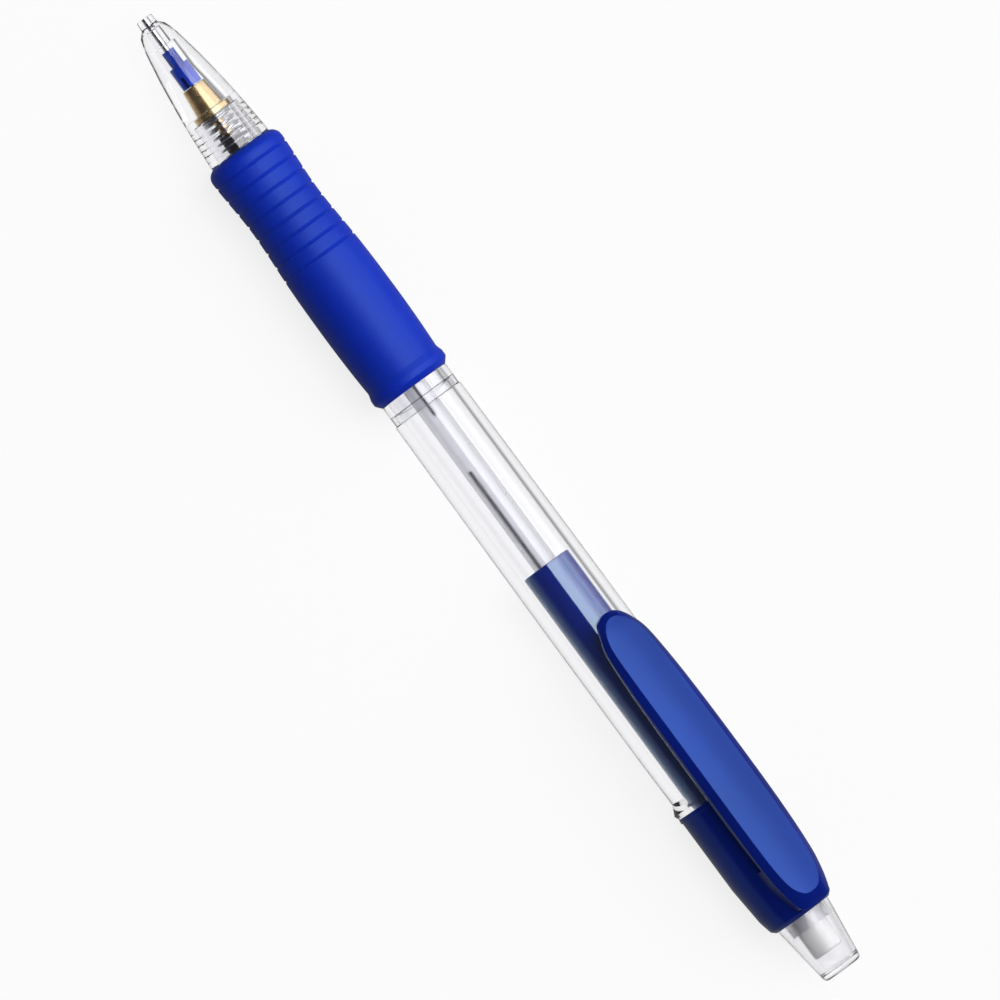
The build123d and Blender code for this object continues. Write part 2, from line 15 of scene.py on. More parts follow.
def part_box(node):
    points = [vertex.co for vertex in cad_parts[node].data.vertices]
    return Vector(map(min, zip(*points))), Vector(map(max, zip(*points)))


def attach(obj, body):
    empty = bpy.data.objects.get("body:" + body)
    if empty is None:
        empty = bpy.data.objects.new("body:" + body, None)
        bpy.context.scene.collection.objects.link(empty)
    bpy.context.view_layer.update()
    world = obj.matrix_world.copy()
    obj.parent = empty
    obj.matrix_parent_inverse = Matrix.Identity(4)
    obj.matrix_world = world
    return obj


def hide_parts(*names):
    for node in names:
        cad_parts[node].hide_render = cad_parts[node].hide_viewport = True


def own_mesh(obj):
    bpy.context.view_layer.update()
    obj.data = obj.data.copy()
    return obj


bl_info = {
    "name": "Clip pencil",
    "version": (1, 0, 0),
    "blender": (4, 5, 0),
    "location": "View3D > Sidebar > Pencil",
    "description": "Builds the detailed pieces, finishes and stage of a clear-barrel clip pencil",
    "category": "Object",
}

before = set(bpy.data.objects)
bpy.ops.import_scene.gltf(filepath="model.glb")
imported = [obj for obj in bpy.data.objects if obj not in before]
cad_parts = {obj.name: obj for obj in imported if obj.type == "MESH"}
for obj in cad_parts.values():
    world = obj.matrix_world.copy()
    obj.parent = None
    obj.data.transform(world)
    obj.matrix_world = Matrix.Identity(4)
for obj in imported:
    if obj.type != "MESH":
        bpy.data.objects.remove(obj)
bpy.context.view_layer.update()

MM = 0.001
NOSE_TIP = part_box("nose_cone")[0][0]
AXIS_HEIGHT = sum(corner[2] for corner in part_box("rear_barrel")) / 2
PI = math.pi

# shared sizes, in mm
CAP_OVERLAP = 11.5      # length of the rear barrel that the clip cap covers
CAP_BORE = 3.8
BARREL_BORE = 3.66      # rear barrel
SOCKET_BORE = 3.2       # nose cone, round the front barrel's spigot
SPIGOT = 3.1            # front barrel, inside the nose cone
TUBE_RADIUS = 1.6       # lead tube
TUBE_BORE = 1.15
LEAD_RADIUS = 0.25
CLIP_LENGTH = 44.0
CLIP_UNDERSIDE = 5.85   # height over the axis
CLIP_ROOT = 7.4         # from the cap's rear end to where the clip leaves the sleeve
FACE_CROWN = 0.016      # fall of the clip's face, times the square of the way across
FACE_STRIPS = 6
BAR_STATION, BAR_HEIGHT, BAR_RADIUS, BAR_HALF = 1.25, 5.95, 0.85, 1.48

# camera
LENS, SENSOR = 600.0, 36.0
VIEW_WIDTH = 0.12225    # metres across the view, at the pencil
ELEVATION, ROLL = 68, 53.65
CENTRE_STATION, CENTRE_LIFT = 73.18, 0.0002

# floor, as shares of its glow: to the camera, to glossy rays, and through clear parts, where the glow is
# a painted bright strip along the pencil
FLOOR_GLOW = 1.04
CAMERA_SHARE, GLOSSY_SHARE = 0.8, 0.22
NEAR_SHARE, FAR_SHARE = 0.93, 0.25
NEAR_REACH, FAR_REACH = 0.009, 0.03
BRIGHT_OFFSET = 0.004   # the bright strip lies this far to the far side


def front(node):
    """Station of a node's front end."""
    return (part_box(node)[0][0] - NOSE_TIP) / MM


def back(node):
    """Station of a node's rear end."""
    return (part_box(node)[1][0] - NOSE_TIP) / MM


def place(station, y=0.0, height=0.0):
    """Point in the frame for a station, a sideways offset and a height over the axis, in mm."""
    return Vector((NOSE_TIP + station * MM, y * MM, AXIS_HEIGHT + height * MM))


# ------------------------------------------------------------------ outlines
def rounded(points):
    """Closed outline with every corner that carries a third number cut to an arc of that radius."""
    out = []
    count = len(points)
    for i, point in enumerate(points):
        here = Vector(point[:2])
        if len(point) < 3:
            out.append(tuple(here))
            continue
        before = (Vector(points[i - 1][:2]) - here)
        after = (Vector(points[(i + 1) % count][:2]) - here)
        opening = before.angle(after)
        reach = min(
            point[2] / math.tan(opening / 2), 0.49 * before.length, 0.49 * after.length
        )
        radius = reach * math.tan(opening / 2)
        centre = here + (before.normalized() + after.normalized()).normalized() * (
            radius / math.sin(opening / 2)
        )
        start = here + before.normalized() * reach - centre
        sweep = PI - opening
        turn = 1 if start.cross(here + after.normalized() * reach - centre) > 0 else -1
        steps = max(2, math.ceil(sweep / math.radians(15)))
        for step in range(steps + 1):
            a = turn * sweep * step / steps
            out.append((
                centre.x + start.x * math.cos(a) - start.y * math.sin(a),
                centre.y + start.x * math.sin(a) + start.y * math.cos(a),
            ))
    return out


def flowing(knots, step):
    """Stations and radii along a smooth line through (station, radius, slope) knots."""
    out = []
    for (x0, y0, m0), (x1, y1, m1) in zip(knots, knots[1:]):
        span = x1 - x0
        steps = max(2, math.ceil(span / step))
        for i in range(steps):
            t = i / steps
            out.append((
                x0 + t * span,
                (2 * t**3 - 3 * t**2 + 1) * y0
                + (t**3 - 2 * t**2 + t) * span * m0
                + (3 * t**2 - 2 * t**3) * y1
                + (t**3 - t**2) * span * m1,
            ))
    out.append(tuple(knots[-1][:2]))
    return out


def straight(start, end, step):
    """Evenly spaced points from start up to end, which is left out."""
    steps = max(1, math.ceil(abs(end[0] - start[0]) / step))
    return [
        (start[0] + (end[0] - start[0]) * i / steps, start[1] + (end[1] - start[1]) * i / steps)
        for i in range(steps)
    ]


# ------------------------------------------------------------------ meshes
def smooth(mesh, angle=28.0):
    """Smooth shading that keeps edges sharper than the angle crisp."""
    mesh.shade_smooth()
    mesh.set_sharp_from_angle(angle=math.radians(angle))


def new_piece(name, mesh, material):
    """Object in the scene for a finished mesh, with one material."""
    mesh.materials.clear()
    mesh.materials.append(material)
    piece = bpy.data.objects.new(name, mesh)
    bpy.context.scene.collection.objects.link(piece)
    return piece


def turned(name, outline, material, segments=128, thread=None, centre=(0.0, 0.0)):
    """Revolve a closed outline of (station, radius) points round the pencil's axis.

    thread is (first station, last station, pitch, depth, lowest radius, highest radius): the
    points inside it are lifted along a helical ridge.
    """
    area = sum(
        a[0] * b[1] - b[0] * a[1] for a, b in zip(outline, outline[1:] + outline[:1])
    )
    if area > 0:
        outline = outline[::-1]
    work = bmesh.new()
    rings = []
    for station, radius in outline:
        if radius < 1e-6:
            rings.append([work.verts.new(place(station, centre[0], centre[1]))])
            continue
        ring = []
        for k in range(segments):
            a = 2 * PI * k / segments
            r = radius
            if thread and thread[0] < station < thread[1] and thread[4] < radius < thread[5]:
                turn = ((station / thread[2]) + k / segments) % 1.0
                ends = min(station - thread[0], thread[1] - station) / thread[2]
                r += thread[3] * max(0.0, 1 - abs(4 * turn - 2)) * min(1.0, ends)
            ring.append(work.verts.new(place(
                station, centre[0] + r * math.cos(a), centre[1] + r * math.sin(a)
            )))
        rings.append(ring)
    for low, high in zip(rings, rings[1:] + rings[:1]):
        if len(low) == 1 and len(high) == 1:
            continue
        for k in range(segments):
            n = (k + 1) % segments
            if len(low) == 1:
                work.faces.new((low[0], high[n], high[k]))
            elif len(high) == 1:
                work.faces.new((low[k], low[n], high[0]))
            else:
                work.faces.new((low[k], low[n], high[n], high[k]))
    mesh = bpy.data.meshes.new(name)
    work.to_mesh(mesh)
    work.free()
    smooth(mesh)
    return new_piece(name, mesh, material)


def refined(name, node, material, angle=32.0):
    """Merged, smooth-shaded copy of a CAD node."""
    mesh = bpy.data.objects[node].data.copy()
    mesh.name = name
    work = bmesh.new()
    work.from_mesh(mesh)
    bmesh.ops.remove_doubles(work, verts=work.verts, dist=2e-6)
    bmesh.ops.dissolve_degenerate(work, edges=work.edges, dist=1e-6)
    work.to_mesh(mesh)
    work.free()
    mesh.transform(bpy.data.objects[node].matrix_world)
    smooth(mesh, angle)
    return new_piece(name, mesh, material)


def settle(piece):
    """Turn a piece's modifiers into its mesh."""
    depsgraph = bpy.context.evaluated_depsgraph_get()
    mesh = bpy.data.meshes.new_from_object(piece.evaluated_get(depsgraph))
    piece.modifiers.clear()
    piece.data = mesh
    return piece


def finished(piece, body, slot_name, *nodes):
    """Tie a piece to its body and hide the nodes that it stands for. slot_name is not used."""
    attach(piece, body)
    if nodes:
        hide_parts(*nodes)
    return piece


# ------------------------------------------------------------------ finishes
def node(tree, kind, values=None, **settings):
    """Shader or geometry node with its settings and the values of its inputs."""
    made = tree.nodes.new(kind)
    for key, value in settings.items():
        setattr(made, key, value)
    for key, value in (values or {}).items():
        made.inputs[key].default_value = value
    return made


def join(tree, source, output, target, target_input):
    """Link an output to an input."""
    tree.links.new(source.outputs[output], target.inputs[target_input])


def begin(name):
    """New material with an emptied node tree, its output and its object coordinates."""
    material = bpy.data.materials.new(name)
    material.use_nodes = True
    tree = material.node_tree
    tree.nodes.clear()
    output = node(tree, "ShaderNodeOutputMaterial")
    where = node(tree, "ShaderNodeTexCoord")
    return material, tree, output, where


def add_noise(tree, where, scale, detail=2.0, stretch=(1, 1, 1)):
    """Noise on object coordinates, at a scale in features per metre."""
    mapping = node(tree, "ShaderNodeMapping", {"Scale": stretch})
    noise = node(tree, "ShaderNodeTexNoise", {"Scale": scale, "Detail": detail})
    join(tree, where, "Object", mapping, "Vector")
    join(tree, mapping, "Vector", noise, "Vector")
    return noise


def add_bump(tree, height, output, shader, distance, strength=1.0):
    """Bump from a height output, in metres."""
    bump = node(tree, "ShaderNodeBump", {"Distance": distance, "Strength": strength})
    join(tree, height, output, bump, "Height")
    join(tree, bump, "Normal", shader, "Normal")
    return bump


def add_range(tree, source, output, shader, target, low, high):
    """Drive a shader input between two values."""
    spread = node(tree, "ShaderNodeMapRange", {"To Min": low, "To Max": high})
    join(tree, source, output, spread, "Value")
    join(tree, spread, "Result", shader, target)


def clear(name, tint, roughness, shade, waviness, grain=0.0):
    """Moulded clear plastic: refracts, lets lamps through as light shadows, slightly wavy."""
    material, tree, output, where = begin(name)
    shader = node(tree, "ShaderNodeBsdfPrincipled", {
        "Base Color": (*tint, 1), "Transmission Weight": 1.0, "IOR": 1.49,
    })
    waves = add_noise(tree, where, 260.0, 1.0, (0.4, 1, 1))
    add_bump(tree, waves, "Fac", shader, waviness)
    haze = add_noise(tree, where, 900.0, 3.0)
    add_range(tree, haze, "Fac", shader, "Roughness", roughness * 0.7, roughness * 1.3 + grain)
    see = node(tree, "ShaderNodeBsdfTransparent", {"Color": (*shade, 1)})
    light = node(tree, "ShaderNodeLightPath")
    mix = node(tree, "ShaderNodeMixShader")
    join(tree, light, "Is Shadow Ray", mix, 0)
    join(tree, shader, 0, mix, 1)
    join(tree, see, 0, mix, 2)
    join(tree, mix, 0, output, "Surface")
    return material


def moulded(name, colour, deep, roughness, gloss=1.5, sheen=(0.45, 0.8, 1.0)):
    """Opaque moulded plastic with faint flow marks in its colour and a fine satin skin."""
    material, tree, output, where = begin(name)
    shader = node(tree, "ShaderNodeBsdfPrincipled", {
        "IOR": gloss, "Specular Tint": (*sheen, 1),
    })
    flow = add_noise(tree, where, 160.0, 3.0, (0.35, 1, 1))
    ramp = node(tree, "ShaderNodeMix", {"A": (*deep, 1), "B": (*colour, 1)}, data_type="RGBA")
    spread = node(tree, "ShaderNodeMapRange", {"From Min": 0.3, "From Max": 0.7})
    join(tree, flow, "Fac", spread, "Value")
    join(tree, spread, "Result", ramp, "Factor")
    tree.links.new(ramp.outputs["Result"], shader.inputs["Base Color"])
    skin = add_noise(tree, where, 7000.0, 2.0)
    add_bump(tree, skin, "Fac", shader, 0.000004, 0.6)
    smudge = add_noise(tree, where, 420.0, 4.0)
    add_range(tree, smudge, "Fac", shader, "Roughness", roughness * 0.75, roughness * 1.25)
    join(tree, shader, 0, output, "Surface")
    return material


def rubber(name, colour, deep, roughness, sheen=(1, 1, 1), glow=0.0):
    """Matte soft rubber: fine grain, faint tone changes, light that spreads under its skin."""
    material, tree, output, where = begin(name)
    shader = node(tree, "ShaderNodeBsdfPrincipled", {
        "IOR": 1.45, "Specular Tint": (*sheen, 1), "Subsurface Weight": glow,
        "Subsurface Radius": (0.1, 0.25, 1.0), "Subsurface Scale": 0.004,
    })
    tone = add_noise(tree, where, 120.0, 4.0)
    ramp = node(tree, "ShaderNodeMix", {"A": (*deep, 1), "B": (*colour, 1)}, data_type="RGBA")
    spread = node(tree, "ShaderNodeMapRange", {"From Min": 0.3, "From Max": 0.7})
    join(tree, tone, "Fac", spread, "Value")
    join(tree, spread, "Result", ramp, "Factor")
    tree.links.new(ramp.outputs["Result"], shader.inputs["Base Color"])
    grain = add_noise(tree, where, 4200.0, 5.0)
    add_bump(tree, grain, "Fac", shader, 0.00002, 0.7)
    add_range(tree, grain, "Fac", shader, "Roughness", roughness - 0.08, roughness + 0.08)
    join(tree, shader, 0, output, "Surface")
    return material


def metal(name, colour, worn, roughness, ring_scale):
    """Turned or drawn metal: fine rings round the axis and slightly dulled patches."""
    material, tree, output, where = begin(name)
    shader = node(tree, "ShaderNodeBsdfPrincipled", {"Metallic": 1.0})
    rings = node(
        tree, "ShaderNodeTexWave", {"Scale": ring_scale, "Distortion": 0.8, "Detail": 2.0},
        bands_direction="X",
    )
    join(tree, where, "Object", rings, "Vector")
    add_bump(tree, rings, "Fac", shader, 0.000006, 0.5)
    dull = add_noise(tree, where, 900.0, 3.0)
    ramp = node(tree, "ShaderNodeMix", {"A": (*worn, 1), "B": (*colour, 1)}, data_type="RGBA")
    join(tree, dull, "Fac", ramp, "Factor")
    tree.links.new(ramp.outputs["Result"], shader.inputs["Base Color"])
    add_range(tree, dull, "Fac", shader, "Roughness", roughness * 0.7, roughness * 1.3)
    join(tree, shader, 0, output, "Surface")
    return material


MAKERS = {
    "clear": lambda c: clear("Clear moulding", c.clear_tint, 0.02, (0.95, 0.95, 0.97), 0.00001),
    "frosted": lambda c: clear("Frosted tube", c.frosted_tint, 0.28, (0.8, 0.8, 0.83), 0.00001,
                               0.08),
    "cap": lambda c: clear("Cap moulding", c.cap_tint, 0.12, (0.9, 0.9, 0.92), 0.00001, 0.05),
    "blue": lambda c: moulded("Blue moulding", c.blue, c.blue_deep, 0.22),
    "clip": lambda c: moulded("Cap moulding blue", c.navy, c.navy_deep, 0.22, 1.85,
                              (0.16, 0.34, 1.0)),
    "tail": lambda c: moulded("Tail moulding", c.navy_deep, c.navy_deep, 0.1, 1.9),
    "grip": lambda c: rubber("Grip rubber", c.rubber, c.rubber_deep, 0.5, (0.5, 0.85, 1.0), 0.6),
    "black": lambda c: rubber("Black rubber", (0.02, 0.02, 0.022), (0.012, 0.012, 0.013), 0.6),
    "eraser": lambda c: rubber("Eraser vinyl", c.eraser, (0.74, 0.73, 0.71), 0.75),
    "brass": lambda c: metal("Turned brass", c.brass, (0.42, 0.28, 0.12), 0.26, 1500.0),
    "steel": lambda c: metal("Drawn steel", (0.62, 0.62, 0.64), (0.4, 0.4, 0.42), 0.24, 2200.0),
    "graphite": lambda c: metal("Graphite", (0.045, 0.045, 0.05), (0.02, 0.02, 0.022), 0.42,
                                3000.0),
}
MADE = {}


def finish(name):
    """The named material, made on its first use."""
    if name not in MADE:
        MADE[name] = MAKERS[name](bpy.context.scene.pencil_colours)
    return MADE[name]


# ------------------------------------------------------------------ settings
def colour(name, description, default):
    """Colour setting."""
    return FloatVectorProperty(
        name=name, description=description, subtype="COLOR", size=3, min=0.0, max=1.0,
        default=default,
    )


def length(name, description, default):
    """Length setting, in metres."""
    return FloatProperty(
        name=name, description=description, unit="LENGTH", default=default, min=0.0,
        precision=5,
    )


class PencilSizes(PropertyGroup):
    """Sizes of the details that the pieces carry."""

    segments: IntProperty(
        name="Segments", description="Steps round each turned piece", default=128, min=24
    )
    coils: FloatProperty(
        name="Spring coils", description="Turns of the chuck spring", default=14.0, min=2.0
    )
    wire: length("Spring wire", "Radius of the chuck spring's wire", 0.00018)
    thread_pitch: length("Thread pitch", "Pitch of the screwed nose joint", 0.0008)
    thread_depth: length("Thread depth", "Height of the thread's ridge", 0.00006)
    groove_count: IntProperty(
        name="Grooves", description="Grooves round the grip's front half", default=8, min=0
    )
    groove_pitch: length("Groove pitch", "Distance from groove to groove", 0.002)
    groove_width: length("Groove width", "Width of one groove at the surface", 0.0005)
    groove_depth: length("Groove depth", "Depth of one groove", 0.00014)
    clip_edge: length("Clip edge", "Rounding of the clip's edges", 0.00012)


class PencilColours(PropertyGroup):
    """Colours of the finishes."""

    clear_tint: colour("Clear plastic", "Tint of the clear mouldings", (0.97, 0.97, 0.985))
    frosted_tint: colour("Frosted plastic", "Tint of the lead tube", (0.88, 0.88, 0.91))
    cap_tint: colour("Eraser cap", "Tint of the eraser cap", (0.95, 0.95, 0.97))
    blue: colour("Blue plastic", "Tip slider", (0.004, 0.032, 0.45))
    blue_deep: colour("Deep blue", "Darker flow marks in the blue", (0.003, 0.024, 0.38))
    navy: colour("Navy plastic", "Clip cap", (0.003, 0.016, 0.29))
    navy_deep: colour("Deep navy", "Darker flow marks, and the tail tube", (0.002, 0.01, 0.18))
    rubber: colour("Grip", "Rubber grip", (0.005, 0.035, 0.64))
    rubber_deep: colour("Deep grip", "Darker tone of the rubber", (0.004, 0.03, 0.58))
    brass: colour("Brass", "Turned brass of the clutch", (0.78, 0.56, 0.28))
    eraser: colour("Eraser", "White eraser", (0.82, 0.81, 0.79))


class PencilStage(PropertyGroup):
    """Light and floor."""

    soft_light: FloatProperty(
        name="Soft light", description="Radiance of the large overhead light", default=1.8,
        min=0.0,
    )
    top_light: FloatProperty(
        name="Top light", description="Extra radiance straight over the pencil", default=1.5,
        min=0.0,
    )
    room: FloatProperty(
        name="Room light", description="Strength of the surroundings", default=0.08, min=0.0
    )


# ------------------------------------------------------------------ operators
class PENCIL_OT_nose(Operator):
    """Clear nose cone with its bores and screwed socket"""

    bl_idname = "pencil.nose"
    bl_label = "Nose cone"

    def execute(self, context):
        sizes = context.scene.pencil_sizes
        end = back("nose_cone")
        flange = back("clutch_sleeve")
        pitch = sizes.thread_pitch / MM
        depth = sizes.thread_depth / MM
        body = flowing(
            [(2.0, 1.9, 0.36), (6.4, 2.85, 0.19), (10.9, 3.485, 0.13), (end, 4.27, 0.07)], 0.6
        )
        outline = rounded([
            (0.0, 0.47), (0.0, 1.08, 0.14), (1.15, 1.15, 0.3), (1.8, 1.8, 0.5),
        ] + body[1:-1] + [
            (end, 4.27, 0.15), (end, 3.25),
        ] + straight((end - 0.1, SOCKET_BORE), (flange + 0.05, SOCKET_BORE), pitch / 12) + [
            (flange - 0.05, SOCKET_BORE), (flange - 0.05, 2.63), (flange - 0.9, 2.63, 0.05),
            (flange - 0.9, 2.03), (8.3, 1.42, 0.1), (4.2, 1.42, 0.1), (4.2, 0.94, 0.06),
            (1.95, 0.94, 0.1), (1.95, 0.47),
        ])
        piece = turned(
            "nose_shell", outline, finish("clear"), sizes.segments,
            thread=(flange + 0.2, end - 0.2, pitch, -depth, 3.1, 3.3),
        )
        finished(piece, "nose", "clear_plastic", "nose_cone")
        return {"FINISHED"}


class PENCIL_OT_tip(Operator):
    """Blue tip slider with its steel guide pipe and rubber lead retainer"""

    bl_idname = "pencil.tip"
    bl_label = "Tip slider"

    def execute(self, context):
        finished(
            refined("slider_moulding", "tip_slider", finish("blue")),
            "slider", "blue_plastic", "tip_slider",
        )
        start, end = front("guide_pipe"), back("guide_pipe")
        pipe = turned("pipe_tube", rounded([
            (start, 0.28), (start, 0.42, 0.06), (end, 0.43), (end, 0.28),
        ]), finish("steel"), 64)
        finished(pipe, "slider", "steel", "guide_pipe")
        finished(
            refined("retainer_ring", "lead_retainer", finish("black")),
            "slider", "rubber_black", "lead_retainer",
        )
        return {"FINISHED"}


class PENCIL_OT_clutch(Operator):
    """Brass clutch sleeve, ring and chuck with the chuck's holder"""

    bl_idname = "pencil.clutch"
    bl_label = "Clutch"

    def execute(self, context):
        start, end = front("clutch_sleeve"), back("clutch_sleeve")
        flange = end - 0.8
        ring_start, ring_end = front("clutch_ring"), back("clutch_ring")
        sleeve = turned("brass_sleeve", rounded([
            (start, 1.10, 0.04), (start, 1.55, 0.1), (flange, 1.95), (flange, 2.55, 0.08),
            (end, 2.55, 0.08), (end, 0.88), (ring_end, 0.88), (ring_end, 1.27),
            (ring_start - 0.7, 1.27), (ring_start - 0.7, 1.10),
        ]), finish("brass"), 96)
        finished(sleeve, "barrel", "brass", "clutch_sleeve")
        finished(refined("brass_ring", "clutch_ring", finish("brass")), "lead", "brass",
                 "clutch_ring")
        finished(refined("brass_chuck", "chuck", finish("brass")), "push_rod", "brass", "chuck")
        finished(refined("holder_moulding", "chuck_holder", finish("frosted")),
                 "push_rod", "frosted_plastic", "chuck_holder")
        return {"FINISHED"}


def spring_tree():
    """Node tree of a compression spring with closed end coils, lying along X from the origin."""
    tree = bpy.data.node_groups.new("Closed end spring", "GeometryNodeTree")
    face = tree.interface
    face.new_socket("Geometry", in_out="INPUT", socket_type="NodeSocketGeometry")
    for label in ("Coils", "Coil radius", "Wire radius", "Length", "Closed share"):
        face.new_socket(label, in_out="INPUT", socket_type="NodeSocketFloat")
    face.new_socket("Finish", in_out="INPUT", socket_type="NodeSocketMaterial")
    face.new_socket("Geometry", in_out="OUTPUT", socket_type="NodeSocketGeometry")
    given = node(tree, "NodeGroupInput")
    result = node(tree, "NodeGroupOutput")

    def maths(operation, first, second):
        made = node(tree, "ShaderNodeMath", operation=operation)
        for slot_index, source in enumerate((first, second)):
            if isinstance(source, (int, float)):
                made.inputs[slot_index].default_value = source
            else:
                tree.links.new(source, made.inputs[slot_index])
        return made.outputs[0]

    line = node(tree, "GeometryNodeCurvePrimitiveLine")
    resample = node(tree, "GeometryNodeResampleCurve", {"Count": 560})
    along = node(tree, "GeometryNodeSplineParameter")
    join(tree, line, "Curve", resample, "Curve")
    share = along.outputs["Factor"]
    angle = maths("MULTIPLY", maths("MULTIPLY", share, given.outputs["Coils"]), 2 * PI)
    open_share = node(tree, "ShaderNodeMapRange", interpolation_type="LINEAR")
    tree.links.new(share, open_share.inputs["Value"])
    tree.links.new(given.outputs["Closed share"], open_share.inputs["From Min"])
    tree.links.new(
        maths("SUBTRACT", 1.0, given.outputs["Closed share"]), open_share.inputs["From Max"]
    )
    # the closed coils still climb by a wire's width each turn
    climb = maths("MULTIPLY", maths("MULTIPLY", share, given.outputs["Coils"]),
                  maths("MULTIPLY", given.outputs["Wire radius"], 2.06))
    total_climb = maths("MULTIPLY", given.outputs["Coils"],
                        maths("MULTIPLY", given.outputs["Wire radius"], 2.06))
    free = maths("SUBTRACT", given.outputs["Length"], total_climb)
    station = maths("ADD", climb, maths("MULTIPLY", free, open_share.outputs["Result"]))
    across = maths("MULTIPLY", maths("COSINE", angle, 0.0), given.outputs["Coil radius"])
    up = maths("MULTIPLY", maths("SINE", angle, 0.0), given.outputs["Coil radius"])
    point = node(tree, "ShaderNodeCombineXYZ")
    for key, source in (("X", station), ("Y", across), ("Z", up)):
        tree.links.new(source, point.inputs[key])
    bend = node(tree, "GeometryNodeSetPosition")
    join(tree, resample, "Curve", bend, "Geometry")
    join(tree, point, "Vector", bend, "Position")
    ring = node(tree, "GeometryNodeCurvePrimitiveCircle", {"Resolution": 12})
    tree.links.new(given.outputs["Wire radius"], ring.inputs["Radius"])
    sweep = node(tree, "GeometryNodeCurveToMesh", {"Fill Caps": True})
    join(tree, bend, "Geometry", sweep, "Curve")
    join(tree, ring, "Curve", sweep, "Profile Curve")
    real = node(tree, "GeometryNodeRealizeInstances")
    paint = node(tree, "GeometryNodeSetMaterial")
    tree.links.new(given.outputs["Finish"], paint.inputs["Material"])
    join(tree, sweep, "Mesh", real, "Geometry")
    join(tree, real, "Geometry", paint, "Geometry")
    join(tree, paint, "Geometry", result, "Geometry")
    return tree


class PENCIL_OT_spring(Operator):
    """Chuck spring, which the eraser cap's push squeezes"""

    bl_idname = "pencil.spring"
    bl_label = "Chuck spring"

    def execute(self, context):
        sizes = context.scene.pencil_sizes
        low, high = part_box("chuck_spring")
        tree = spring_tree()
        piece = new_piece("spring_coil", bpy.data.meshes.new("spring_coil"), finish("steel"))
        modifier = piece.modifiers.new("Spring", "NODES")
        modifier.node_group = tree
        wire = sizes.wire
        values = {
            "Coils": sizes.coils, "Coil radius": (high[1] - low[1]) / 2 - wire,
            "Wire radius": wire, "Length": high[0] - low[0] - 2 * wire, "Closed share": 0.1,
            "Finish": finish("steel"),
        }
        for item in tree.interface.items_tree:
            if item.item_type == "SOCKET" and item.in_out == "INPUT" and item.name in values:
                modifier[item.identifier] = values[item.name]
        settle(piece)
        piece.data.transform(Matrix.Translation((low[0] + wire, 0, AXIS_HEIGHT)))
        smooth(piece.data, 40)
        finished(piece, "barrel", "steel", "chuck_spring")
        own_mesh(piece)
        return {"FINISHED"}


class PENCIL_OT_barrels(Operator):
    """Clear front and rear barrels with their joint and stop ring"""

    bl_idname = "pencil.barrels"
    bl_label = "Barrels"

    def execute(self, context):
        sizes = context.scene.pencil_sizes
        pitch = sizes.thread_pitch / MM
        depth = sizes.thread_depth / MM
        start, end = front("front_barrel"), back("front_barrel")
        grip_start, grip_end = front("rubber_grip"), back("rubber_grip")
        joint = front("rear_barrel")
        seat = end - 1.3
        outline = rounded([(start, 2.2, 0.05), (start, 3.0)] + straight(
            (start + 0.1, SPIGOT), (grip_start - 0.1, SPIGOT), pitch / 12
        ) + [
            (grip_start, SPIGOT), (grip_start, 4.2), (grip_end, 4.2), (grip_end, 4.72, 0.1),
            (end, 4.72, 0.12), (end, 4.27), (seat, 4.27, 0.08), (seat, 3.97), (joint, 3.97),
            (joint, 2.5), (31.2, 2.5), (31.2, 2.2),
        ])
        piece = turned(
            "front_barrel_shell", outline, finish("clear"), sizes.segments,
            thread=(start + 0.3, grip_start - 0.3, pitch, -0.6 * depth, 3.0, 3.2),
        )
        finished(piece, "barrel", "clear_plastic", "front_barrel")

        start, end = front("rear_barrel"), back("rear_barrel")
        cap = end - CAP_OVERLAP
        ring = cap - 2.0
        step = start + 10.0
        outer = flowing([
            (step, 4.87, 0.006), (step + 34.3, 5.03, 0.001), (ring - 8, 5.03, 0.0),
            (ring - 0.2, 4.94, -0.014),
        ], 2.0)
        outline = rounded([
            (start, 3.3, 0.1), (start, 3.95, 0.12), (step - 1.3, 3.95), (step - 1.3, 4.25, 0.06),
            (step, 4.25), (step, 4.87, 0.1),
        ] + outer[1:] + [
            (ring, 4.93, 0.3), (ring + 1.36, 5.6, 0.14), (cap, 5.3, 0.08), (cap, 4.4),
            (end, 4.4, 0.15), (end, BARREL_BORE, 0.1), (step - 1.3, BARREL_BORE, 0.2),
            (step - 1.3, 3.3),
        ])
        piece = turned(
            "rear_barrel_shell", outline, finish("clear"), sizes.segments
        )
        finished(piece, "barrel", "clear_plastic", "rear_barrel")
        return {"FINISHED"}


